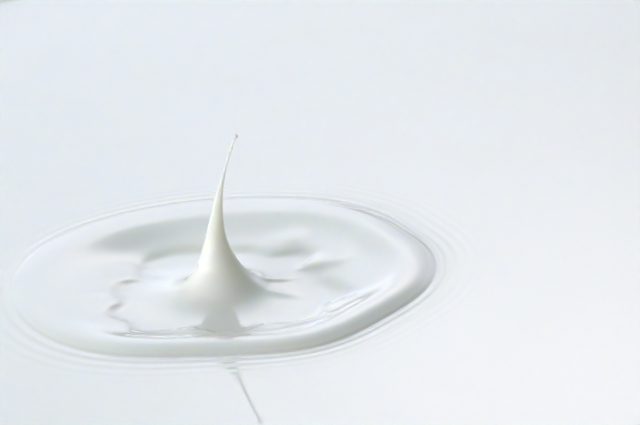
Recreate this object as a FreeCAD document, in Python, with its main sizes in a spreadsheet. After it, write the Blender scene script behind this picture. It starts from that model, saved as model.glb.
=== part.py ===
"""A round clear-glass dish of milk, with the splash of one fallen drop standing in it.

Sizes are in millimetres.  The origin is the centre of the dish's foot, on the table, and +Z is up.
The milk is one solid: the pool, the round wave that runs outwards, the hollow inside it and the
thin jet that leaps from its middle, with the bead and the drop at the jet's tip.
"""
import FreeCAD
import Part
import Sketcher
import math
import os

V = FreeCAD.Vector

# Driving sizes: alias, value, what it is.
SIZES = [
    ("rim_radius", 130.0, "inside radius of the dish at its rim"),
    ("wall_flare", 7.0, "how much further out the wall stands at the rim than at the floor"),
    ("wall", 4.0, "thickness of the wall"),
    ("rim_swell", 1.5, "how far the rim band stands out from the wall"),
    ("rim_band", 6.0, "height of the rim band"),
    ("rim_round", 1.8, "rounding of the rim's top edges"),
    ("band_round", 0.6, "rounding of the ledge under the rim band"),
    ("dish_height", 43.5, "height of the dish over the table"),
    ("base", 5.0, "thickness of the dish's floor"),
    ("inner_corner", 14.0, "rounding between floor and wall, inside"),
    ("outer_corner", 12.0, "rounding between floor and wall, outside"),
    ("foot_height", 2.5, "height of the foot ring"),
    ("foot_width", 7.0, "width of the foot ring"),
    ("foot_inset", 18.0, "distance of the foot ring from the foot of the wall"),
    ("foot_round", 1.0, "rounding of the foot ring"),
    ("freeboard", 6.0, "height of the rim over the still milk"),
    ("milk_gap", 0.3, "clearance between the milk and the glass"),
    ("splash_across", -12.0, "place of the splash from the middle of the dish, along X"),
    ("splash_along", -32.0, "place of the splash from the middle of the dish, along Y"),
    ("ripple_run", 10.7, "how far the ripples run out beyond the wave's outer foot"),
    ("ripple_length", 1.85, "distance from ripple to ripple outside the wave"),
    ("ripple_height", 0.085, "height of the first ripple"),
    ("wave_radius", 35.3, "radius of the wave's outer foot"),
    ("wave_crest", 4.3, "distance of the wave's crest inside its outer foot"),
    ("wave_height", 0.82, "height of the wave's crest"),
    ("foot_crease", 0.09, "how softly the wave's foot meets the still milk"),
    ("hollow_inset", 5.4, "how far inside the wave's outer foot the hollow starts"),
    ("hollow_depth", 1.35, "depth of the hollow"),
    ("hollow_side", 8.0, "length of the hollow's side"),
    ("mound_radius", 12.0, "radius of the low mound in the hollow's middle"),
    ("root_radius", 5.0, "radius within which the mound meets the jet"),
    ("step_inset", 16.5, "how far inside the wave's outer foot the scalloped step lies"),
    ("step_depth", 0.7, "depth of the step"),
    ("step_side", 1.4, "length of the step's side"),
    ("lobe_reach", 2.6, "how far a lobe of milk reaches over the step, or falls short of it"),
    ("jet_height", 25.9, "height of the drop at the jet's tip over the still milk"),
    ("jet_lean", 4.8, "how far the tip leans out from the jet's foot, along X"),
    ("jet_bend", 5.0, "height where the jet starts to lean"),
    ("jet_offset", -1.0, "place of the jet's foot from the middle of the wave, along X"),
    ("cone_height", 21.0, "height where the jet's cone ends in its thread"),
    ("cone_radius", 2.4, "radius of the cone at the still level, without its flare"),
    ("flare_radius", 4.8, "what the flare adds to the radius at the still level"),
    ("flare_height", 2.9, "height over which the flare dies away"),
    ("thread_radius", 0.22, "radius of the jet's thread"),
    ("bead_radius", 0.28, "radius of the bead on the thread"),
    ("bead_height", 23.9, "height of the bead over the still milk"),
    ("neck_radius", 0.13, "radius of the fine neck between bead and drop"),
    ("drop_radius", 0.43, "radius of the drop at the tip"),
]

# Unevenness round the splash.  Each entry is a direction and a half-width in degrees, and an amount.
# The wave's outer foot, in millimetres outwards:
WAVE_DENTS = [(140, 34, 2.0), (25, 13, -1.0), (60, 10, 0.4), (272, 17, -1.5), (255, 24, -2.5), (320, 18, -1.4)]
# Shares of the wave's height, the hollow's depth, the length of the hollow's side and the ripples' distance:
WAVE_SWELLS = [(315, 60, 0.3), (245, 25, 0.25), (35, 20, 0.2), (180, 55, -0.5), (95, 50, -0.75)]
HOLLOW_DEEPS = [(125, 30, 0.35), (270, 60, 0.3)]
HOLLOW_SIDES = [(192, 42, 1.0), (15, 32, 0.8), (128, 26, -0.3)]
RIPPLE_SPREAD = [(235, 45, 0.45)]
# Lobes and bays of the step, as shares of the lobe's reach:
LOBES = [(2, 11, -0.7), (22, 9, -1.6), (60, 14, -1.3), (84, 12, -0.7), (120, 16, 1.0), (153, 9, -1.0),
         (190, 9, -0.5), (206, 11, 1.1), (228, 10, 1.4), (250, 9, -0.8), (270, 9, 0.6), (290, 9, -0.6),
         (312, 11, 1.3), (338, 9, 1.4)]
# Ribs that run outwards: direction, distance from the middle, half-length, half-width and height in mm.
RIBS = [(57, 20.4, 3.6, 3.0, 0.38), (18, 17.6, 4.0, 2.6, 0.3), (96, 18.4, 3.7, 1.4, 0.2),
        (141, 16.8, 4.2, 1.6, 0.25), (180, 18.8, 4.2, 1.2, 0.1), (8, 7.8, 3.0, 0.8, 0.3),
        (336, 9.3, 3.2, 1.2, 0.25)]

FLARE_SOFTNESS = 0.2  # share of the flare's height over which the flare blends into the pool
CONE_CURVE = 1.4  # above 1 the cone's outline is hollow
LEAN_CURVE = 1.9  # above 1 the jet leans more and more
SIDE_LEAN = 0.13  # lean along Y for each unit of lean along X
RIPPLE_FADE = 3.7  # distance over which the ripples die away

STEPS_ROUND = 96
RIPPLE_STEP = 0.45
HOLLOW_STEP = 0.7
TIP_FLAT = 0.12


def fill_sheet(doc):
    """Put the driving sizes in a sheet and give each one its alias."""
    sheet = doc.addObject("Spreadsheet::Sheet", "sizes")
    for row, (alias, value, meaning) in enumerate(SIZES, start=1):
        sheet.set("A%d" % row, str(value))
        sheet.setAlias("A%d" % row, alias)
        sheet.set("B%d" % row, meaning)
    doc.recompute()
    return sheet


def origin_plane(body, role):
    """One of the body's own origin planes."""
    for feature in body.Origin.OriginFeatures:
        if feature.Role == role:
            return feature
    raise RuntimeError("no plane " + role)


def outline_sketch(body, name, corners):
    """A closed outline of straight lines in the XZ plane; each corner is (radius, height) as expressions."""
    sketch = body.newObject("Sketcher::SketchObject", name)
    sketch.AttachmentSupport = [(origin_plane(body, "XZ_Plane"), "")]
    sketch.MapMode = "FlatFace"
    count = len(corners)
    for index in range(count):
        start = V(10.0 * index, 5.0 * (index % 2), 0)
        end = V(10.0 * (index + 1), 5.0 * ((index + 1) % 2), 0)
        sketch.addGeometry(Part.LineSegment(start, end), False)
    for index in range(count):
        sketch.addConstraint(Sketcher.Constraint("Coincident", index, 2, (index + 1) % count, 1))
    for index, (radius, height) in enumerate(corners):
        for axis, kind, text in ((-2, "DistanceX", radius), (-1, "DistanceY", height)):
            if text == "0":
                sketch.addConstraint(Sketcher.Constraint("PointOnObject", index, 1, axis))
                continue
            number = sketch.addConstraint(Sketcher.Constraint(kind, -1, 1, index, 1, 10.0))
            sketch.setExpression("Constraints[%d]" % number, text)
    return sketch


def turned(body, name, sketch):
    """Turn the outline once round the upright axis."""
    feature = body.newObject("PartDesign::Revolution", name)
    feature.Profile = sketch
    feature.ReferenceAxis = (sketch, ["V_Axis"])
    feature.Angle = 360
    body.Document.recompute()
    return feature


def rounded(body, name, radius_text, places):
    """Round the circles that pass through the given (radius, height) places."""
    base = body.Tip
    names = []
    for number, edge in enumerate(base.Shape.Edges, start=1):
        curve = edge.Curve
        if not isinstance(curve, Part.Circle):
            continue
        for radius, height in places:
            if abs(curve.Radius - radius) < 0.01 and abs(curve.Center.z - height) < 0.01:
                names.append("Edge%d" % number)
    if len(names) < len(places):
        raise RuntimeError("edges missing for " + name)
    feature = body.newObject("PartDesign::Fillet", name)
    feature.Base = (base, names)
    feature.setExpression("Radius", radius_text)
    body.Document.recompute()
    return feature


def make_dish(doc, size):
    """The dish: an outline turned round, hollowed by a second one, with its edges rounded."""
    body = doc.addObject("PartDesign::Body", "glass_dish")
    body.Label = "glass_dish"
    under = "sizes.foot_height"
    floor = "sizes.foot_height + sizes.base"
    top = "sizes.dish_height"
    band = "sizes.dish_height - sizes.rim_band"
    rise = "(sizes.dish_height - sizes.foot_height)"
    outside_low = "sizes.rim_radius - sizes.wall_flare + sizes.wall"
    outside_top = "sizes.rim_radius + sizes.wall + sizes.rim_swell"
    lean = "sizes.wall_flare * (1 - sizes.rim_band / %s)" % rise
    outside_band = outside_low + " + " + lean
    foot_out = outside_low + " - sizes.foot_inset"
    foot_in = foot_out + " - sizes.foot_width"
    outer = outline_sketch(body, "dish_outline", [
        ("0", under), (foot_in, under), (foot_in, "0"), (foot_out, "0"), (foot_out, under),
        (outside_low, under), (outside_band, band), (outside_top, band), (outside_top, top), ("0", top)])
    turned(body, "dish_blank", outer)
    inside_low = "sizes.rim_radius - sizes.wall_flare"
    hollow = outline_sketch(body, "hollow_outline", [
        ("0", floor), (inside_low, floor), ("sizes.rim_radius", top), ("0", top)])
    groove = body.newObject("PartDesign::Groove", "dish_hollow")
    groove.Profile = hollow
    groove.ReferenceAxis = (hollow, ["V_Axis"])
    groove.Angle = 360
    doc.recompute()

    low_radius = size["rim_radius"] - size["wall_flare"]
    low_outside = low_radius + size["wall"]
    foot_outside = low_outside - size["foot_inset"]
    band_share = 1 - size["rim_band"] / (size["dish_height"] - size["foot_height"])
    band_radius = low_outside + size["wall_flare"] * band_share
    band_height = size["dish_height"] - size["rim_band"]
    top_outside = size["rim_radius"] + size["wall"] + size["rim_swell"]
    floor_height = size["foot_height"] + size["base"]
    rounded(body, "inside_corner", "sizes.inner_corner", [(low_radius, floor_height)])
    rounded(body, "outside_corner", "sizes.outer_corner", [(low_outside, size["foot_height"])])
    rounded(body, "rim_edges", "min(sizes.rim_round; 0.45 * (sizes.wall + sizes.rim_swell))", [
        (size["rim_radius"], size["dish_height"]), (top_outside, size["dish_height"])])
    rounded(body, "band_edges", "min(sizes.band_round; 0.45 * sizes.rim_swell)", [
        (top_outside, band_height), (band_radius, band_height)])
    rounded(body, "foot_edges", "sizes.foot_round", [
        (foot_outside, 0.0), (foot_outside - size["foot_width"], 0.0),
        (foot_outside, size["foot_height"]), (foot_outside - size["foot_width"], size["foot_height"])])
    return body


def make_still_milk(doc, size):
    """The pool before the splash: it fills the dish to the still level, a hair clear of the glass."""
    body = doc.addObject("PartDesign::Body", "still_milk")
    body.Label = "still_milk"
    floor = "sizes.foot_height + sizes.base + sizes.milk_gap"
    level = "sizes.dish_height - sizes.freeboard"
    hollow = "(sizes.dish_height - sizes.foot_height - sizes.base)"
    low = "sizes.rim_radius - sizes.wall_flare * (1 - sizes.milk_gap / %s) - sizes.milk_gap" % hollow
    high = "sizes.rim_radius - sizes.wall_flare * sizes.freeboard / %s - sizes.milk_gap" % hollow
    sketch = outline_sketch(body, "milk_outline", [("0", floor), (low, floor), (high, level), ("0", level)])
    turned(body, "milk_pool", sketch)
    hollow_depth = size["dish_height"] - size["foot_height"] - size["base"]
    gap = size["milk_gap"]
    low_radius = size["rim_radius"] - size["wall_flare"] * (1 - gap / hollow_depth) - gap
    low_height = size["foot_height"] + size["base"] + gap
    rounded(body, "milk_corner", "sizes.inner_corner - sizes.milk_gap", [(low_radius, low_height)])
    return body


def turn_between(angle, direction):
    """Signed angle in degrees from a direction, between -180 and 180."""
    return (angle - direction + 180.0) % 360.0 - 180.0


def bell(value):
    """A smooth bump: 1 at nought, fading on both sides."""
    return math.exp(-value * value)


def rise(value):
    """A smooth step from 0 to 1."""
    return 0.5 * (1.0 + math.tanh(value))


def uneven(angle, bumps):
    """The sum of the bumps round the splash, in one direction."""
    return sum(amount * bell(turn_between(angle, middle) / width) for middle, width, amount in bumps)


def soft_floor(value, softness):
    """The value where it is above nought, and nought where it is below, with a soft bend between."""
    return softness * math.log1p(math.exp(min(value / softness, 60.0)))


def surface_height(x, y, size):
    """Height of the milk over its still level, without the jet, at a place from the splash's middle."""
    radius = math.hypot(x, y)
    angle = math.degrees(math.atan2(y, x))
    foot = size["wave_radius"] + uneven(angle, WAVE_DENTS)
    swell = 1.0 + uneven(angle, WAVE_SWELLS)

    # The wave: a dome outside its crest, steepest at its foot, and a gentler fall inside it.
    beyond = radius - foot
    out = max(beyond / size["wave_crest"] + 1.0, 0.0)
    within = max(-beyond / size["wave_crest"] - 1.0, 0.0)
    dome = soft_floor(size["wave_height"] * (1.0 - out ** 2), size["foot_crease"])
    height = swell * dome * bell(1.1 * within)

    # The hollow, and the scalloped step on its floor.
    side = size["hollow_side"] * (1.0 + uneven(angle, HOLLOW_SIDES))
    inside = max(foot - size["hollow_inset"] - radius, 0.0)
    deep = size["hollow_depth"] * (1.0 + uneven(angle, HOLLOW_DEEPS))
    height -= deep * (1.0 - bell(inside / side))
    step_middle = size["wave_radius"] - size["step_inset"]
    step = step_middle + size["lobe_reach"] * uneven(angle, LOBES)
    height -= size["step_depth"] * rise((step - radius) / size["step_side"])
    for direction, distance, length, half_width, rib_height in RIBS:
        across = math.radians(turn_between(angle, direction)) * radius
        height += rib_height * bell(across / half_width) * bell((radius - distance) / length)

    # The ripples outside the wave, which die away outwards.
    fading = rise((beyond + 0.5) / 0.5) * math.exp(-max(beyond, 0.0) / RIPPLE_FADE)
    turns = (beyond - 0.35) / (size["ripple_length"] * (1.0 + uneven(angle, RIPPLE_SPREAD)))
    height -= size["ripple_height"] * (0.5 + 0.5 * swell) * fading * math.cos(2.0 * math.pi * turns)
    return height * rise((size["wave_radius"] + size["ripple_run"] - 2.0 - radius) / 0.9)


def jet_radius(height, size):
    """Radius of the jet's cone, flare and thread at a height over the still level."""
    left = max(0.0, 1.0 - height / size["cone_height"])
    cone = size["cone_radius"] * left ** CONE_CURVE
    return size["thread_radius"] + cone + size["flare_radius"] * math.exp(-height / size["flare_height"])


def flare_height(radius, size):
    """Height at which the jet has a radius, found by halving, and faded softly into the pool."""
    low = -3.0 * size["flare_height"]
    high = size["cone_height"]
    for _ in range(40):
        middle = 0.5 * (low + high)
        if jet_radius(middle, size) > radius:
            low = middle
        else:
            high = middle
    softness = FLARE_SOFTNESS * size["flare_height"]
    return softness * math.log1p(math.exp(min(high / softness, 60.0)))


def jet_axis(height, size):
    """Middle of the jet at a height: upright at its foot, then leaning over more and more."""
    share = max(0.0, (height - size["jet_bend"]) / (size["jet_height"] - size["jet_bend"]))
    x = size["jet_offset"] + size["jet_lean"] * share ** LEAN_CURVE
    y = -SIDE_LEAN * size["jet_lean"] * share ** 2
    return V(x, y, height)


def tip_radius(height, size):
    """Radius of the thread, bead, neck and drop above the cone."""
    best = size["thread_radius"] if height < size["bead_height"] else size["neck_radius"]
    for middle, round_radius in ((size["bead_height"], size["bead_radius"]),
                                 (size["jet_height"], size["drop_radius"])):
        inside = round_radius ** 2 - (height - middle) ** 2
        if inside > 0:
            best = max(best, math.sqrt(inside))
    return best


def stations(first, last, step):
    """Evenly spaced values from first to last, about a step apart, with last left out."""
    count = max(2, int(round(abs(last - first) / step)))
    return [first + (last - first) * index / count for index in range(count)]


def pool_ring(radius, size, still):
    """One closed ring of places on the pool, round a middle that moves to the jet's foot."""
    near = bell(radius / (0.35 * size["wave_radius"]))
    foot = flare_height(radius, size) * (1.0 - rise((radius - 0.45 * size["wave_radius"]) / 2.0))
    fade = 1.0 - 0.5 * bell(radius / size["mound_radius"]) - 0.5 * bell(radius / size["root_radius"])
    ring = []
    for index in range(STEPS_ROUND):
        angle = 2.0 * math.pi * index / STEPS_ROUND
        x = size["jet_offset"] * near + radius * math.cos(angle)
        y = radius * math.sin(angle)
        relief = 0.0 if still else surface_height(x, y, size)
        ring.append(V(x, y, relief * fade + foot))
    return ring


def jet_ring(height, radius, size):
    """One closed ring of places round the jet, square to its axis."""
    middle = jet_axis(height, size)
    ahead = jet_axis(height + 0.05, size) - jet_axis(height - 0.05, size)
    ahead.normalize()
    side = V(0, 1, 0).cross(ahead)
    side.normalize()
    other = ahead.cross(side)
    ring = []
    for index in range(STEPS_ROUND):
        angle = 2.0 * math.pi * index / STEPS_ROUND
        ring.append(middle + side * (radius * math.cos(angle)) + other * (radius * math.sin(angle)))
    return ring


def splash_rings(size):
    """All rings from the still milk inwards and up the jet to its tip."""
    reach = size["wave_radius"] + size["ripple_run"]
    inner = size["wave_radius"] - size["wave_crest"] - 1.0
    join = jet_radius(1.4 * size["flare_height"], size)
    rings = [pool_ring(reach, size, True), pool_ring(reach - 0.2, size, True)]
    for radius in stations(reach - 0.6, inner, RIPPLE_STEP) + stations(inner, join, HOLLOW_STEP):
        rings.append(pool_ring(radius, size, False))
    start = flare_height(join, size)
    bead_foot = size["bead_height"] - size["bead_radius"] - 0.3
    for height in stations(start, bead_foot, 0.8):
        rings.append(jet_ring(height, jet_radius(height, size), size))
    drop_foot = size["jet_height"] - size["drop_radius"]
    bead_top = size["bead_height"] + size["bead_radius"]
    tip = size["jet_height"] + math.sqrt(size["drop_radius"] ** 2 - TIP_FLAT ** 2)
    heights = stations(bead_foot, bead_top, 0.12) + stations(bead_top, drop_foot, 0.4)
    for height in heights + stations(drop_foot, tip, 0.12) + [tip]:
        rings.append(jet_ring(height, tip_radius(height, size), size))
    return rings


def ring_surface(rings):
    """A smooth surface that closes on itself, steered by the rings."""
    around = len(rings[0])
    along = len(rings)
    poles = [[rings[step][index] for step in range(along)] for index in range(around)]
    knots_round = [float(index) for index in range(around + 1)]
    knots_along = [float(index) for index in range(along - 2)]
    surface = Part.BSplineSurface()
    surface.buildFromPolesMultsKnots(
        poles, [1] * (around + 1), [4] + [1] * (along - 4) + [4],
        knots_round, knots_along, True, False, 3, 3)
    return surface


def make_milk(doc, size, still_milk):
    """The milk: the pool's side and bottom, its still top with a hole, and the splash in that hole."""
    level = size["dish_height"] - size["freeboard"]
    place = V(size["splash_across"], size["splash_along"], level)
    rings = [[point + place for point in ring] for ring in splash_rings(size)]
    splash = ring_surface(rings).toShape()
    open_edges = sorted(splash.Edges, key=lambda edge: edge.BoundBox.ZMax - edge.BoundBox.ZMin)
    flat_edges = [edge for edge in open_edges if edge.isClosed()]
    outer_edge = max(flat_edges, key=lambda edge: edge.Length)
    tip_edge = min(flat_edges, key=lambda edge: edge.Length)
    pool_faces = []
    for face in still_milk.Shape.Faces:
        if abs(face.CenterOfMass.z - level) < 0.001:
            rim_wire = face.OuterWire
        else:
            pool_faces.append(face)
    still_top = Part.Face([rim_wire, Part.Wire([outer_edge])])
    tip_cap = Part.Face(Part.Wire([tip_edge]))
    shell = Part.makeShell(pool_faces + [still_top, splash, tip_cap])
    shell.sewShape()
    solid = Part.Solid(shell)
    solid.fix(0.0001, 0.0001, 0.001)
    feature = doc.addObject("Part::Feature", "milk")
    feature.Label = "milk"
    feature.Shape = solid
    feature.Placement = FreeCAD.Placement()
    return feature


def check(doc, parts):
    """Stop if an object failed or a sub-part isn't one sound solid."""
    for thing in doc.Objects:
        if "Invalid" in thing.State or "Error" in thing.State:
            raise RuntimeError("failed: " + thing.Label)
    for thing in parts:
        shape = thing.Shape
        if shape.isNull() or not shape.isValid() or len(shape.Solids) != 1 or shape.Volume <= 0:
            raise RuntimeError("not one sound solid: " + thing.Label)
        box = shape.BoundBox
        print(thing.Label, "volume %.1f cm3" % (shape.Volume / 1000.0), "faces", len(shape.Faces),
              "z %.2f to %.2f" % (box.ZMin, box.ZMax), "x %.2f to %.2f" % (box.XMin, box.XMax))


def main():
    """Build the document, check it and write each sub-part."""
    doc = FreeCAD.newDocument("dish_of_milk")
    sheet = fill_sheet(doc)
    size = {alias: float(sheet.get(alias)) for alias, _, _ in SIZES}
    dish = make_dish(doc, size)
    still_milk = make_still_milk(doc, size)
    milk = make_milk(doc, size, still_milk)
    doc.recompute()
    parts = [dish, milk]
    check(doc, parts)
    os.makedirs("parts", exist_ok=True)
    for thing in parts:
        thing.Shape.exportStep("parts/%s.step" % thing.Label)


main()
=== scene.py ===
"""A round clear-glass dish of milk, with the splash of one fallen drop standing in it.

Every size is in metres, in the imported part's own frame: the origin is the middle of the dish's foot
on the table, +Z is up.  The milk and the dish each replace their plainer construction solids.
"""
import math
from typing import NamedTuple

import bpy
import numpy as np
from bpy.props import FloatProperty, FloatVectorProperty, PointerProperty
from bpy.types import Operator, Panel, PropertyGroup
from mathutils import Matrix, Vector


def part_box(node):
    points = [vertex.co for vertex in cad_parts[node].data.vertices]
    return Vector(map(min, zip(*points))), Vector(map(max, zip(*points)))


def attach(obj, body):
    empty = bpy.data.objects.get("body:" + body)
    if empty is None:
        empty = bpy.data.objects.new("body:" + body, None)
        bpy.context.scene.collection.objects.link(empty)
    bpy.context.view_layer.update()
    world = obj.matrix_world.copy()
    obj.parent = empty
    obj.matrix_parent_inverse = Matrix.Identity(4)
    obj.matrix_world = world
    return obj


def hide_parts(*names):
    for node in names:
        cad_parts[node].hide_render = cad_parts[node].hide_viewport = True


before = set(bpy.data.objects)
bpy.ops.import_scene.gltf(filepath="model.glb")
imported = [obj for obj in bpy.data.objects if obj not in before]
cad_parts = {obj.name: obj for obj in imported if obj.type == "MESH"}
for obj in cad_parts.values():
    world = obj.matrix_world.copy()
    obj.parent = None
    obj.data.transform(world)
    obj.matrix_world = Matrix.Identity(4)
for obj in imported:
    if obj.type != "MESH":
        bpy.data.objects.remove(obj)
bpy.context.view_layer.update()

bl_info = {
    "name": "Dish of milk with a drop splash",
    "version": (1, 0, 0),
    "blender": (4, 5, 0),
    "location": "3D View > Sidebar > Milk",
    "description": "Builds a glass dish of milk and the splash of a fallen drop",
    "category": "Add Mesh",
}

DISH_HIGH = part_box("glass_dish")[1]
MM = 0.001

# Unevenness round the splash.  Each entry is a direction and a half-width in degrees, and an amount.
# The wave's outer foot, in millimetres outwards:
WAVE_DENTS = [(140, 34, 2.0), (25, 13, -1.0), (60, 10, 0.4), (272, 17, -1.5), (255, 24, -2.5),
              (320, 18, -1.4)]
# Shares of the wave's height, of the hollow's depth, of its side's length and of the ripples' distance:
WAVE_SWELLS = [(315, 60, 0.3), (245, 25, 0.25), (35, 20, 0.2), (180, 55, -0.5), (95, 50, -0.75)]
HOLLOW_DEEPS = [(125, 30, 0.35), (270, 60, 0.3)]
HOLLOW_SIDES = [(192, 42, 1.0), (15, 32, 0.8), (128, 26, -0.3)]
RIPPLE_SPREAD = [(235, 45, 0.45)]
# Lobes and bays of the step, as shares of the lobe's reach:
LOBES = [(2, 11, -0.7), (22, 9, -1.6), (60, 14, -1.3), (84, 12, -0.7), (120, 16, 1.0), (153, 9, -1.0),
         (190, 9, -0.5), (206, 11, 1.1), (228, 10, 1.4), (250, 9, -0.8), (270, 9, 0.6), (290, 9, -0.6),
         (312, 11, 1.3), (338, 9, 1.4)]
# Ribs that run outwards: direction, distance from the middle, half-length, half-width and height in mm.
RIBS = [(57, 20.4, 3.6, 3.0, 0.38), (18, 17.6, 4.0, 2.6, 0.3), (96, 18.4, 3.7, 1.4, 0.2),
        (141, 16.8, 4.2, 1.6, 0.25), (180, 18.8, 4.2, 1.2, 0.1), (8, 7.8, 3.0, 0.8, 0.3),
        (336, 9.3, 3.2, 1.2, 0.25)]

FLARE_SOFTNESS = 0.2  # share of the flare's height over which the flare blends into the pool
CONE_CURVE = 1.4  # above 1 the cone's outline is hollow
LEAN_CURVE = 1.9  # above 1 the jet leans more and more
SIDE_LEAN = 0.13  # lean along Y for each unit of lean along X
CREST_FALL = 1.1  # above 1 the wave falls more steeply inside its crest than its width says
RIPPLE_EDGE = 0.5 * MM  # how softly the ripples begin at the wave's foot
RIPPLE_START = 0.35 * MM  # where the first ripple begins outside the wave's foot
RIPPLE_FADE = 3.7 * MM  # distance over which the ripples die away
RUN_OUT = 2.0 * MM  # how far inside the end of their run the ripples are half gone
RUN_SOFTNESS = 0.9 * MM  # how softly they go
ROOT_SHARE = 0.35  # share of the wave's radius over which the rings move to the jet's foot
FLARE_REACH = 0.45  # share of the wave's radius that the flare may reach
FLARE_END = 2.0 * MM  # how softly it ends there
CREEP_FADE = 1.1 * MM  # distance over which the milk's creep up the glass dies away

# How finely the meshes are made: places round a ring, and steps from ring to ring.
AROUND_POOL = 360
AROUND_JET = 90
AROUND_DISH = 256
WAVE_STEP = 0.18 * MM
FLOOR_STEP = 0.3 * MM
ROOT_STEP = 0.25 * MM
JET_STEP = 0.35 * MM
BEAD_STEP = 0.06 * MM
NECK_STEP = 0.2 * MM
DROP_STEP = 0.05 * MM
CREST_BAND = 4.0 * MM  # the finest rings reach this far inside the wave's foot
ROOT_BAND = 9.0 * MM  # radius within which the rings are finer again
JOIN_SHARE = 1.4  # height, in heights of the flare, where the pool's rings hand over to the jet's
TIP_SHARE = 0.99  # share of the drop's radius at which its last ring lies

# Rings outside the splash: under the milk, as shares of its radius; on the creep, in mm from the wall; and
# on the still milk, as shares of the way from the wall to the ripples.
FLOOR_RINGS = (0.16, 0.49, 0.73)
CREEP_RINGS = (0.0, 0.1, 0.25, 0.45, 0.7, 1.0, 1.4, 1.9, 2.5, 3.3, 4.5, 6.0)
STILL_RINGS = (0.0, 0.5, 0.8)
STILL_INSET = 8.0 * MM  # how far in from the wall the first of these lies
MIDDLE_RADIUS = 1.0 * MM  # radius of the smallest ring, where the dish's skin closes on its axis
UNDER_INSET = 10.0 * MM  # from the foot ring inwards to the next ring on the flat underside
AXIS_STEP = 0.05 * MM  # step along the jet that finds which way its axis runs


class Lamp(NamedTuple):
    """A soft lamp behind the tent's cloth: its place and spread in degrees, and its light."""
    azimuth: float
    elevation: float
    half_width: float
    half_height: float
    strength: float
    tint: tuple


# Azimuth 0 is straight behind the dish and 90 is to its right.
LAMPS = [
    Lamp(-2.0, 25.0, 22.0, 16.0, 1.93, (0.91, 1.0, 1.26)),  # large, behind: the still milk mirrors it
    Lamp(8.0, 28.0, 9.0, 8.0, 2.5, (1.14, 1.0, 0.98)),  # its warmer middle
    Lamp(-4.0, 10.0, 22.0, 6.0, 1.1, (1.0, 1.0, 1.2)),  # low behind
    Lamp(-4.0, 45.0, 30.0, 10.0, 1.1, (0.75, 1.0, 1.3)),  # high behind, for the near sides of the ripples
    Lamp(30.0, 20.0, 12.0, 12.0, 2.1, (1.02, 1.0, 1.36)),  # behind, to the right
    Lamp(-60.0, 25.0, 14.0, 14.0, 0.8, (1.1, 1.0, 1.3)),  # behind, to the left
    Lamp(-88.0, 13.0, 20.0, 12.0, 4.6, (0.98, 1.0, 1.1)),  # low at the left, for the jet's bright side
    Lamp(-130.0, 14.0, 26.0, 12.0, 5.7, (0.98, 1.0, 1.14)),  # low in front, to the left
]
# The light tent: its radius in metres, and in degrees how far it reaches up and round.
TENT_RADIUS = 0.6
TENT_FOOT = 3.15
TENT_TOP = 60.0
TENT_FROM = -172.0
TENT_TO = 132.0
TENT_STEP = 4.0
TENT_ROWS = 24
# The room round the tent, as light: its colour and strength at the horizon and straight above.
ROOM_LOW = (0.41, 0.405, 0.33)
ROOM_HIGH = (0.15, 0.19, 0.20)

# The table: its radius in metres, and how far it lies under the dish's foot.
FLOOR_RADIUS = 30.0
FLOOR_DROP = 0.2 * MM

# The camera: degrees down and rolled, metres from its aim, lens and sensor in mm, and how far to the right of
# the splash and over it the aim lies.
CAMERA_TILT = 22.3
CAMERA_ROLL = 4.8
CAMERA_DISTANCE = 1.6
CAMERA_LENS = 537.0
CAMERA_SENSOR = 36.0
AIM_RIGHT = 15.9 * MM
AIM_OVER = 11.3 * MM


def length(name, description, millimetres):
    """A size that a user may change, given here in millimetres."""
    return FloatProperty(
        name=name, description=description, default=millimetres * MM, unit="LENGTH", precision=5)


def hex_colour(code):
    """A hex colour in sRGB as linear red, green, blue and alpha."""
    parts = [int(code[start:start + 2], 16) / 255 for start in (1, 3, 5)]
    return [part / 12.92 if part <= 0.04045 else ((part + 0.055) / 1.055) ** 2.4 for part in parts] + [1.0]


def colour(name, description, code):
    """A colour that a user may change."""
    return FloatVectorProperty(
        name=name, description=description, default=hex_colour(code)[:3],
        subtype="COLOR", size=3, min=0, max=1)


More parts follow.
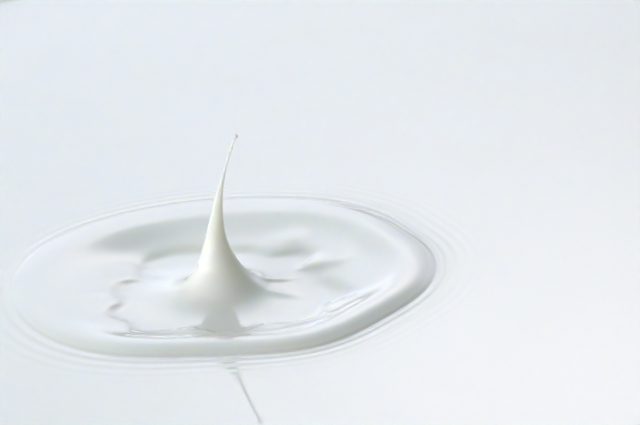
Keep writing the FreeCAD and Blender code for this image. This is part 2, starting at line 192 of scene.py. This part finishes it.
class SplashSizes(PropertyGroup):
    """Sizes of the splash and the pool it stands in."""
    across: length("Across", "Place of the splash from the middle of the dish, along X", -12.0)
    along: length("Along", "Place of the splash from the middle of the dish, along Y", -32.0)
    ripple_run: length("Ripple run", "How far the ripples run out beyond the wave's foot", 10.7)
    ripple_length: length("Ripple length", "Distance from ripple to ripple", 1.85)
    ripple_height: length("Ripple height", "Height of the first ripple", 0.085)
    wave_radius: length("Wave radius", "Radius of the wave's outer foot", 35.3)
    wave_crest: length("Wave crest", "Distance of the crest inside the outer foot", 4.3)
    wave_height: length("Wave height", "Height of the wave's crest", 0.82)
    foot_crease: length("Foot crease", "How softly the wave's foot meets the still milk", 0.09)
    hollow_inset: length("Hollow inset", "How far inside the wave's foot the hollow starts", 5.4)
    hollow_depth: length("Hollow depth", "Depth of the hollow", 1.35)
    hollow_side: length("Hollow side", "Length of the hollow's side", 8.0)
    mound_radius: length("Mound radius", "Radius of the low mound in the hollow's middle", 12.0)
    root_radius: length("Root radius", "Radius within which the mound meets the jet", 5.0)
    step_inset: length("Step inset", "How far inside the wave's foot the scalloped step lies", 16.5)
    step_depth: length("Step depth", "Depth of the step", 0.7)
    step_side: length("Step side", "Length of the step's side", 1.4)
    lobe_reach: length("Lobe reach", "How far a lobe reaches over the step", 2.6)
    jet_height: length("Jet height", "Height of the tip's drop over the still milk", 25.9)
    jet_lean: length("Jet lean", "How far the tip leans out from the foot", 4.8)
    jet_bend: length("Jet bend", "Height where the jet starts to lean", 5.0)
    jet_offset: length("Jet offset", "Place of the jet's foot from the middle of the wave", -1.0)
    cone_height: length("Cone height", "Height where the cone ends in the thread", 21.0)
    cone_radius: length("Cone radius", "Radius of the cone at the still level, without its flare", 2.4)
    flare_radius: length("Flare radius", "What the flare adds at the still level", 4.8)
    flare_height: length("Flare height", "Height over which the flare dies away", 2.9)
    thread_radius: length("Thread radius", "Radius of the jet's thread", 0.22)
    bead_radius: length("Bead radius", "Radius of the bead on the thread", 0.28)
    bead_height: length("Bead height", "Height of the bead", 23.9)
    neck_radius: length("Neck radius", "Radius of the fine neck under the drop", 0.13)
    drop_radius: length("Drop radius", "Radius of the drop at the tip", 0.43)
    meniscus: length("Meniscus", "How far the milk creeps up the glass", 1.3)
    into_glass: length("Into the glass", "How far the milk reaches into the glass, to leave no gap", 0.3)


class DishSizes(PropertyGroup):
    """Sizes of the glass dish, as it was pressed."""
    wall: length("Wall", "Thickness of the wall", 4.0)
    wall_flare: length("Wall flare", "How much further out the wall stands at the rim", 7.0)
    rim_swell: length("Rim swell", "How far the rim band stands out", 1.5)
    rim_band: length("Rim band", "Height of the rim band", 6.0)
    rim_round: length("Rim round", "Rounding of the rim's top edges", 1.8)
    band_round: length("Band round", "Rounding of the ledge under the rim band", 0.6)
    base: length("Base", "Thickness of the floor", 5.0)
    inner_corner: length("Inner corner", "Rounding between floor and wall, inside", 14.0)
    outer_corner: length("Outer corner", "Rounding between floor and wall, outside", 12.0)
    foot_height: length("Foot height", "Height of the foot ring", 2.5)
    foot_width: length("Foot width", "Width of the foot ring", 7.0)
    foot_inset: length("Foot inset", "Distance of the foot ring from the foot of the wall", 18.0)
    foot_round: length("Foot round", "Rounding of the foot ring", 1.0)
    freeboard: length("Freeboard", "Height of the rim over the still milk", 6.0)


class Colours(PropertyGroup):
    """Colours of the milk, the glass and the stage."""
    milk: colour("Milk", "Whole milk in the light", "#F6F6EE")
    cream: colour("Cream", "Where the milk is a little richer", "#F5F3E6")
    glass: colour("Glass", "Clear glass", "#F7FBF9")
    floor: colour("Floor", "The table under the dish", "#E9ECEE")


# ---------------------------------------------------------------- materials

def add_node(tree, kind, settings=None, links=None):
    """Add one node, set its named sockets or fields, and link its inputs from (node, output) pairs."""
    node = tree.nodes.new(kind)
    for name, value in (settings or {}).items():
        if name in node.inputs:
            node.inputs[name].default_value = value
        else:
            setattr(node, name, value)
    for name, (source, output) in (links or {}).items():
        tree.links.new(source.outputs[output], node.inputs[name])
    return node


def new_material(name):
    """An empty node material and its node tree."""
    material = bpy.data.materials.new(name)
    material.use_nodes = True
    tree = material.node_tree
    tree.nodes.clear()
    return material, tree


def per_metre(millimetres):
    """Texture scale that gives features of a real size."""
    return 1.0 / (millimetres * MM)


def whole_milk(colours):
    """Fresh whole milk: water full of fine drops of fat."""
    material, tree = new_material("whole_milk")
    # Cream is spread a little unevenly, which keeps the white from looking like paint.
    place = add_node(tree, "ShaderNodeTexCoord")
    richness = add_node(tree, "ShaderNodeTexNoise", {"Scale": per_metre(18.0), "Detail": 2.0},
                        {"Vector": (place, "Object")})
    tint = add_node(tree, "ShaderNodeMix", {"data_type": "RGBA"}, {"Factor": (richness, "Fac")})
    tint.inputs[6].default_value = [*colours.milk, 1.0]
    tint.inputs[7].default_value = [*colours.cream, 1.0]
    # Light scatters for about a millimetre inside, which softens shadows and lets the thin jet glow.
    # The wet skin over it mirrors the room sharply.
    skin = add_node(tree, "ShaderNodeBsdfPrincipled", {
        "Roughness": 0.045, "IOR": 1.35, "Subsurface Weight": 1.0,
        "Subsurface Radius": (1.0, 0.85, 0.6), "Subsurface Scale": 0.0013})
    tree.links.new(tint.outputs[2], skin.inputs["Base Color"])
    add_node(tree, "ShaderNodeOutputMaterial", None, {"Surface": (skin, "BSDF")})
    return material


def pressed_glass(colours):
    """Pressed and fire-polished soda-lime glass."""
    material, tree = new_material("pressed_glass")
    # The mould leaves faint waves, which make the reflections swim a little.
    place = add_node(tree, "ShaderNodeTexCoord")
    waves = add_node(tree, "ShaderNodeTexNoise", {"Scale": per_metre(14.0), "Detail": 1.0},
                     {"Vector": (place, "Object")})
    bump = add_node(tree, "ShaderNodeBump", {"Strength": 0.05, "Distance": 0.5 * MM},
                    {"Height": (waves, "Fac")})
    glass = add_node(tree, "ShaderNodeBsdfPrincipled", {
        "Base Color": [*colours.glass, 1.0], "Roughness": 0.02, "IOR": 1.52, "Transmission Weight": 1.0},
        {"Normal": (bump, "Normal")})
    add_node(tree, "ShaderNodeOutputMaterial", None, {"Surface": (glass, "BSDF")})
    return material


def matt_board(colours):
    """Pale matt laminate of a table top."""
    material, tree = new_material("matt_board")
    # A slight mottle breaks up the even colour; there is no shine that could draw the eye.
    place = add_node(tree, "ShaderNodeTexCoord")
    mottle = add_node(tree, "ShaderNodeTexNoise", {"Scale": per_metre(3.0), "Detail": 3.0},
                      {"Vector": (place, "Object")})
    shade = add_node(tree, "ShaderNodeMapRange", {"To Min": 0.985, "To Max": 1.0},
                     {"Value": (mottle, "Fac")})
    tint = add_node(tree, "ShaderNodeVectorMath", {"operation": "SCALE"}, {"Scale": (shade, "Result")})
    tint.inputs[0].default_value = colours.floor
    board = add_node(tree, "ShaderNodeBsdfPrincipled", {"Roughness": 0.8}, {"Base Color": (tint, "Vector")})
    add_node(tree, "ShaderNodeOutputMaterial", None, {"Surface": (board, "BSDF")})
    return material


def tent_cloth():
    """White nylon of a light tent, lit from outside: it only glows, brighter in front of each lamp."""
    material, tree = new_material("tent_cloth")
    glow = add_node(tree, "ShaderNodeAttribute", {"attribute_name": "glow"})
    cloth = add_node(tree, "ShaderNodeEmission", {"Strength": 1.0}, {"Color": (glow, "Color")})
    add_node(tree, "ShaderNodeOutputMaterial", None, {"Surface": (cloth, "Emission")})
    return material


# ---------------------------------------------------------------- shapes

def turn_between(angle, direction):
    """Signed angle in degrees from a direction, between -180 and 180."""
    return (angle - direction + 180.0) % 360.0 - 180.0


def bell(value):
    """A smooth bump: 1 at nought, fading on both sides."""
    return np.exp(-np.square(value))


def rise(value):
    """A smooth step from 0 to 1."""
    return 0.5 * (1.0 + np.tanh(value))


def uneven(angle, bumps):
    """The sum of the bumps round the splash, in one direction."""
    return sum(amount * bell(turn_between(angle, middle) / width) for middle, width, amount in bumps)


def soft_floor(value, softness):
    """The value where it is above nought, and nought where it is below, with a soft bend between."""
    return softness * np.logaddexp(0.0, value / softness)


def surface_height(x, y, size):
    """Height of the milk over its still level, without the jet, at places from the splash's middle."""
    radius = np.hypot(x, y)
    angle = np.degrees(np.arctan2(y, x))
    foot = size.wave_radius + MM * uneven(angle, WAVE_DENTS)
    swell = 1.0 + uneven(angle, WAVE_SWELLS)

    # The wave: a dome outside its crest, steepest at its foot, and a gentler fall inside it.
    beyond = radius - foot
    out = np.maximum(beyond / size.wave_crest + 1.0, 0.0)
    within = np.maximum(-beyond / size.wave_crest - 1.0, 0.0)
    dome = soft_floor(size.wave_height * (1.0 - out ** 2), size.foot_crease)
    height = swell * dome * bell(CREST_FALL * within)

    # The hollow, and the scalloped step on its floor.
    side = size.hollow_side * (1.0 + uneven(angle, HOLLOW_SIDES))
    inside = np.maximum(foot - size.hollow_inset - radius, 0.0)
    deep = size.hollow_depth * (1.0 + uneven(angle, HOLLOW_DEEPS))
    height -= deep * (1.0 - bell(inside / side))
    step_middle = size.wave_radius - size.step_inset
    step = step_middle + size.lobe_reach * uneven(angle, LOBES)
    height -= size.step_depth * rise((step - radius) / size.step_side)
    for direction, distance, half_length, half_width, rib_height in RIBS:
        across = np.radians(turn_between(angle, direction)) * radius
        along = radius - distance * MM
        height += rib_height * MM * bell(across / (half_width * MM)) * bell(along / (half_length * MM))

    # The ripples outside the wave, which die away outwards.
    fading = rise((beyond + RIPPLE_EDGE) / RIPPLE_EDGE) * np.exp(-np.maximum(beyond, 0.0) / RIPPLE_FADE)
    turns = (beyond - RIPPLE_START) / (size.ripple_length * (1.0 + uneven(angle, RIPPLE_SPREAD)))
    height -= size.ripple_height * (0.5 + 0.5 * swell) * fading * np.cos(2.0 * math.pi * turns)
    run = size.wave_radius + size.ripple_run - RUN_OUT
    return height * rise((run - radius) / RUN_SOFTNESS)


def jet_radius(height, size):
    """Radius of the jet's cone, flare and thread at a height over the still level."""
    left = max(0.0, 1.0 - height / size.cone_height)
    flare = size.flare_radius * math.exp(-height / size.flare_height)
    return size.thread_radius + size.cone_radius * left ** CONE_CURVE + flare


def flare_height(radius, size):
    """Height at which the jet has a radius, found by halving, and faded softly into the pool."""
    low = -3.0 * size.flare_height
    high = size.cone_height
    for _ in range(40):
        middle = 0.5 * (low + high)
        if jet_radius(middle, size) > radius:
            low = middle
        else:
            high = middle
    softness = FLARE_SOFTNESS * size.flare_height
    return softness * math.log1p(math.exp(min(high / softness, 60.0)))


def jet_axis(height, size):
    """Middle of the jet at a height: upright at its foot, then leaning over more and more."""
    share = max(0.0, (height - size.jet_bend) / (size.jet_height - size.jet_bend))
    across = size.jet_offset + size.jet_lean * share ** LEAN_CURVE
    return Vector((across, -SIDE_LEAN * size.jet_lean * share ** 2, height))


def tip_radius(height, size):
    """Radius of the thread, bead, neck and drop above the cone."""
    best = size.thread_radius if height < size.bead_height else size.neck_radius
    for middle, round_radius in ((size.bead_height, size.bead_radius), (size.jet_height, size.drop_radius)):
        inside = round_radius ** 2 - (height - middle) ** 2
        if inside > 0:
            best = max(best, math.sqrt(inside))
    return best


def stations(first, last, step):
    """Evenly spaced values from first to last, about a step apart, with last left out."""
    count = max(2, int(round(abs(last - first) / step)))
    return [first + (last - first) * index / count for index in range(count)]


def circle(count):
    """Cosines and sines of evenly spaced directions."""
    angles = np.arange(count) * (2.0 * math.pi / count)
    return np.cos(angles), np.sin(angles)


def pool_ring(radius, size):
    """One closed ring of places on the pool, round a middle that moves to the jet's foot."""
    cosine, sine = circle(AROUND_POOL)
    near = bell(radius / (ROOT_SHARE * size.wave_radius))
    x = size.jet_offset * near + radius * cosine
    y = radius * sine
    past_flare = (radius - FLARE_REACH * size.wave_radius) / FLARE_END
    foot = flare_height(radius, size) * (1.0 - rise(past_flare))
    fade = 1.0 - 0.5 * bell(radius / size.mound_radius) - 0.5 * bell(radius / size.root_radius)
    return np.stack([x, y, surface_height(x, y, size) * fade + foot], axis=1)


def jet_ring(height, radius, size):
    """One closed ring of places round the jet, square to its axis."""
    cosine, sine = circle(AROUND_JET)
    middle = jet_axis(height, size)
    ahead = (jet_axis(height + AXIS_STEP, size) - jet_axis(height - AXIS_STEP, size)).normalized()
    side = Vector((0, 1, 0)).cross(ahead).normalized()
    other = ahead.cross(side)
    return np.array(middle) + radius * (np.outer(cosine, side) + np.outer(sine, other))


def splash_rings(size):
    """Rings of the splash from the still milk inwards to the jet's foot, and then up the jet."""
    reach = size.wave_radius + size.ripple_run
    inner = size.wave_radius - CREST_BAND
    join = jet_radius(JOIN_SHARE * size.flare_height, size)
    radii = stations(reach, inner, WAVE_STEP) + stations(inner, ROOT_BAND, FLOOR_STEP)
    radii += stations(ROOT_BAND, join, ROOT_STEP)
    pool = [pool_ring(radius, size) for radius in radii]
    bead_foot = size.bead_height - size.bead_radius - NECK_STEP
    jet = [jet_ring(height, jet_radius(height, size), size)
           for height in stations(flare_height(join, size), bead_foot, JET_STEP)]
    tip = size.jet_height + size.drop_radius * TIP_SHARE
    drop_foot = size.jet_height - size.drop_radius
    bead_top = size.bead_height + size.bead_radius
    heights = stations(bead_foot, bead_top, BEAD_STEP) + stations(bead_top, drop_foot, NECK_STEP)
    for height in heights + stations(drop_foot, tip, DROP_STEP):
        jet.append(jet_ring(height, tip_radius(height, size), size))
    return pool + jet


def round_corner(before, corner, after, radius, steps):
    """Places on the arc that rounds a corner of an outline."""
    first = (Vector(before) - Vector(corner)).normalized()
    second = (Vector(after) - Vector(corner)).normalized()
    half = first.angle(second) / 2.0
    middle = Vector(corner) + (first + second).normalized() * (radius / math.sin(half))
    start = Vector(corner) + first * (radius / math.tan(half)) - middle
    end = Vector(corner) + second * (radius / math.tan(half)) - middle
    turn = start.angle_signed(end)
    places = []
    for index in range(steps + 1):
        turned = -turn * index / steps
        cosine, sine = math.cos(turned), math.sin(turned)
        across = cosine * start.x - sine * start.y
        up = sine * start.x + cosine * start.y
        places.append((middle.x + across, middle.y + up))
    return places


def outline(corners):
    """Places along an outline whose corners are (radius, height, rounding)."""
    places = []
    count = len(corners)
    for index, (x, z, rounding) in enumerate(corners):
        if rounding <= 0:
            places.append((x, z))
            continue
        before = corners[index - 1][:2]
        after = corners[(index + 1) % count][:2]
        steps = 4 + int(rounding / MM)  # one more for each millimetre of rounding
        places += round_corner(before, (x, z), after, rounding, steps)
    return places


def ring_at(radius, height, around):
    """A level ring round the dish's own axis."""
    cosine, sine = circle(around)
    return np.stack([radius * cosine, radius * sine, np.full(around, height)], axis=1)


def bridge(faces, first, second, count_first, count_second):
    """Join a ring to the next; where the next has fewer places, several edges share a face."""
    ratio = count_first // count_second
    for index in range(count_second):
        following = (index + 1) % count_second
        wide = [first + (index * ratio + step) % count_first for step in range(ratio + 1)]
        faces.append(wide + [second + following, second + index])


def skin_of(rings):
    """Vertices and faces of a surface through the rings, with a point in the middle of each end."""
    starts = np.cumsum([0] + [len(ring) for ring in rings])
    faces = []
    for index in range(len(rings) - 1):
        bridge(faces, int(starts[index]), int(starts[index + 1]), len(rings[index]), len(rings[index + 1]))
    bottom = int(starts[-1])
    for index in range(len(rings[0])):
        faces.append([(index + 1) % len(rings[0]), index, bottom])
    last = int(starts[-2])
    for index in range(len(rings[-1])):
        faces.append([last + index, last + (index + 1) % len(rings[-1]), bottom + 1])
    middles = [rings[0].mean(axis=0), rings[-1].mean(axis=0)]
    return np.concatenate([*rings, middles]), faces


def new_piece(name, vertices, faces, material):
    """A smooth mesh object with one material."""
    mesh = bpy.data.meshes.new(name)
    mesh.from_pydata([tuple(place) for place in vertices], [], faces)
    if mesh.validate():
        raise RuntimeError("the mesh of %s has faulty faces" % name)
    mesh.materials.append(material)
    mesh.shade_smooth()
    piece = bpy.data.objects.new(name, mesh)
    bpy.context.scene.collection.objects.link(piece)
    return piece


# ---------------------------------------------------------------- operators

def inner_rim(dish):
    """Radius of the dish's inner wall at the rim."""
    return DISH_HIGH[0] - dish.wall - dish.rim_swell


def milk_level(dish):
    """Height of the still milk."""
    return DISH_HIGH[2] - dish.freeboard


class OBJECT_OT_pour_milk(Operator):
    """Make the milk: the pool in the dish and the splash standing in it, as one piece."""
    bl_idname = "object.pour_milk"
    bl_label = "Pour the milk"

    def execute(self, context):
        scene = context.scene
        size, dish = scene.splash_sizes, scene.dish_sizes
        level = milk_level(dish)
        floor = dish.foot_height + dish.base
        slope = dish.wall_flare / (DISH_HIGH[2] - floor)
        wall_radius = inner_rim(dish) - slope * dish.freeboard

        # From underneath: the floor, then the wall's inner face, both a little inside the glass.
        sunk = size.into_glass
        low_radius = inner_rim(dish) - dish.wall_flare + sunk
        corner = outline([
            (0.0, floor - sunk, 0.0), (low_radius, floor - sunk, dish.inner_corner),
            (wall_radius + slope * size.meniscus + sunk, level + size.meniscus, 0.0)])
        rings = [ring_at(share * low_radius, floor - sunk, AROUND_POOL) for share in FLOOR_RINGS]
        rings += [ring_at(radius, height, AROUND_POOL) for radius, height in corner[1:]]

        # The milk's creep up the glass, and the still milk, whose rings shift over towards the splash.
        for away in CREEP_RINGS:
            height = size.meniscus * math.exp(-away * MM / CREEP_FADE)
            rings.append(ring_at(wall_radius + slope * height - away * MM, level + height, AROUND_POOL))
        reach = size.wave_radius + size.ripple_run
        for share in STILL_RINGS:
            radius = wall_radius + (reach - wall_radius) * share - STILL_INSET * (1.0 - share)
            shift = np.array([size.across, size.along, 0.0]) * share
            rings.append(ring_at(radius, level, AROUND_POOL) + shift)

        place = np.array([size.across, size.along, level])
        rings += [ring + place for ring in splash_rings(size)]
        piece = new_piece("milk_with_splash", *skin_of(rings), whole_milk(scene.part_colours))
        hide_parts("milk")
        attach(piece, "root")
        return {"FINISHED"}


class OBJECT_OT_press_dish(Operator):
    """Make the pressed glass dish."""
    bl_idname = "object.press_dish"
    bl_label = "Press the dish"

    def execute(self, context):
        scene = context.scene
        dish = scene.dish_sizes
        top = DISH_HIGH[2]
        rim = inner_rim(dish)
        rim_out = rim + dish.wall + dish.rim_swell
        low_in = rim - dish.wall_flare
        low_out = low_in + dish.wall
        foot_out = low_out - dish.foot_inset
        foot_in = foot_out - dish.foot_width
        under = dish.foot_height
        floor = under + dish.base
        band = top - dish.rim_band
        band_radius = low_out + dish.wall_flare * (1.0 - dish.rim_band / (top - under))

        # Half of the dish, cut through its axis: from the middle underneath round to the middle inside.
        profile = outline([
            (MIDDLE_RADIUS, under, 0.0), (foot_in - UNDER_INSET, under, 0.0),
            (foot_in, under, dish.foot_round), (foot_in, 0.0, dish.foot_round),
            (foot_out, 0.0, dish.foot_round), (foot_out, under, dish.foot_round),
            (low_out, under, dish.outer_corner), (band_radius, band, dish.band_round),
            (rim_out, band, dish.band_round), (rim_out, top, dish.rim_round),
            (rim, top, dish.rim_round), (low_in, floor, dish.inner_corner), (MIDDLE_RADIUS, floor, 0.0)])
        rings = [ring_at(radius, height, AROUND_DISH) for radius, height in profile]
        piece = new_piece("pressed_glass_dish", *skin_of(rings), pressed_glass(scene.part_colours))
        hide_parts("glass_dish")
        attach(piece, "root")
        return {"FINISHED"}


def room_light(elevation):
    """Light of the room from one elevation in degrees."""
    share = math.sin(math.radians(elevation))
    return np.array(ROOM_LOW) * (1.0 - share) + np.array(ROOM_HIGH) * share


def room_world():
    """The room as a world: bright and warm at the horizon, dimmer and cooler above."""
    world = bpy.data.worlds.new("studio")
    world.use_nodes = True
    tree = world.node_tree
    place = add_node(tree, "ShaderNodeTexCoord")
    up = add_node(tree, "ShaderNodeSeparateXYZ", None, {"Vector": (place, "Generated")})
    mix = add_node(tree, "ShaderNodeMix", {"data_type": "RGBA", "clamp_factor": True},
                   {"Factor": (up, "Z")})
    mix.inputs[6].default_value = [*ROOM_LOW, 1.0]
    mix.inputs[7].default_value = [*ROOM_HIGH, 1.0]
    background = tree.nodes["Background"]
    tree.links.new(mix.outputs[2], background.inputs["Color"])
    background.inputs["Strength"].default_value = 1.0
    return world


def tent_glow(azimuth, elevation):
    """Light of the tent's cloth in one direction: the room's, and that of each lamp behind the cloth."""
    glow = room_light(elevation)
    for lamp in LAMPS:
        beside = bell((azimuth - lamp.azimuth) / lamp.half_width)
        near = beside * bell((elevation - lamp.elevation) / lamp.half_height)
        glow = glow + lamp.strength * near * np.array(lamp.tint)
    return [*glow, 1.0]


def light_tent(middle):
    """Hang a round light tent, open above and at its foot and not seen by the camera itself."""
    azimuths = np.arange(TENT_FROM, TENT_TO + 0.5 * TENT_STEP, TENT_STEP)
    elevations = np.linspace(TENT_FOOT, TENT_TOP, TENT_ROWS)
    places, glows, faces = [], [], []
    for azimuth in azimuths:
        for elevation in elevations:
            across, up = math.radians(azimuth), math.radians(elevation)
            places.append((TENT_RADIUS * math.sin(across), TENT_RADIUS * math.cos(across),
                           TENT_RADIUS * math.tan(up)))
            glows.append(tent_glow(azimuth, elevation))
    for column in range(len(azimuths) - 1):
        for row in range(TENT_ROWS - 1):
            corner = column * TENT_ROWS + row
            faces.append((corner, corner + TENT_ROWS, corner + TENT_ROWS + 1, corner + 1))
    tent = new_piece("light_tent", places, faces, tent_cloth())
    layer = tent.data.color_attributes.new("glow", "FLOAT_COLOR", "POINT")
    layer.data.foreach_set("color", np.array(glows).ravel())
    tent.location = middle
    tent.visible_camera = False


def stand_camera(splash):
    """Stand the camera in front of the splash, looking down on it, and give it back."""
    tilt, roll = math.radians(CAMERA_TILT), math.radians(CAMERA_ROLL)
    level_right = Vector((1, 0, 0))
    level_up = Vector((0, math.sin(tilt), math.cos(tilt)))
    forward = Vector((0, math.cos(tilt), -math.sin(tilt)))
    right = math.cos(roll) * level_right - math.sin(roll) * level_up
    up = math.sin(roll) * level_right + math.cos(roll) * level_up
    aim = splash + AIM_RIGHT * right + AIM_OVER * up
    data = bpy.data.cameras.new("camera")
    data.sensor_width = CAMERA_SENSOR
    data.lens = CAMERA_LENS
    data.clip_start = 0.05
    data.clip_end = 100.0
    camera = bpy.data.objects.new("camera", data)
    turn = Matrix((right, up, -forward)).transposed()
    camera.matrix_world = Matrix.Translation(aim - forward * CAMERA_DISTANCE) @ turn.to_4x4()
    return camera


class SCENE_OT_set_stage(Operator):
    """Lay the floor, hang the light tent and stand the camera."""
    bl_idname = "scene.set_stage"
    bl_label = "Set the stage"

    def execute(self, context):
        scene = context.scene
        size = scene.splash_sizes
        edge = ring_at(FLOOR_RADIUS, -FLOOR_DROP, AROUND_JET)
        floor = new_piece("floor", edge, [list(range(AROUND_JET))], matt_board(scene.part_colours))

        splash = Vector((size.across, size.along, milk_level(scene.dish_sizes)))
        light_tent(splash)
        scene.world = room_world()
        camera = stand_camera(splash)
        scene.collection.objects.link(camera)
        scene.camera = camera
        scene.view_settings.view_transform = "Standard"
        return {"FINISHED"}


class VIEW3D_PT_milk(Panel):
    """Buttons that make each piece."""
    bl_label = "Dish of milk"
    bl_space_type = "VIEW_3D"
    bl_region_type = "UI"
    bl_category = "Milk"

    def draw(self, context):
        for operator in OPERATORS:
            self.layout.operator(operator.bl_idname)


GROUPS = {"splash_sizes": SplashSizes, "dish_sizes": DishSizes, "part_colours": Colours}
OPERATORS = (OBJECT_OT_press_dish, OBJECT_OT_pour_milk, SCENE_OT_set_stage)


def register():
    """Register the classes and hang the settings on the scene."""
    for kind in (*GROUPS.values(), *OPERATORS, VIEW3D_PT_milk):
        bpy.utils.register_class(kind)
    for name, group in GROUPS.items():
        setattr(bpy.types.Scene, name, PointerProperty(type=group))


def unregister():
    """Take the settings and classes away again."""
    for name in GROUPS:
        delattr(bpy.types.Scene, name)
    for kind in reversed((*GROUPS.values(), *OPERATORS, VIEW3D_PT_milk)):
        bpy.utils.unregister_class(kind)


def main():
    register()
    bpy.ops.object.press_dish()
    bpy.ops.object.pour_milk()
    bpy.ops.scene.set_stage()


if __name__ == "__main__":
    main()
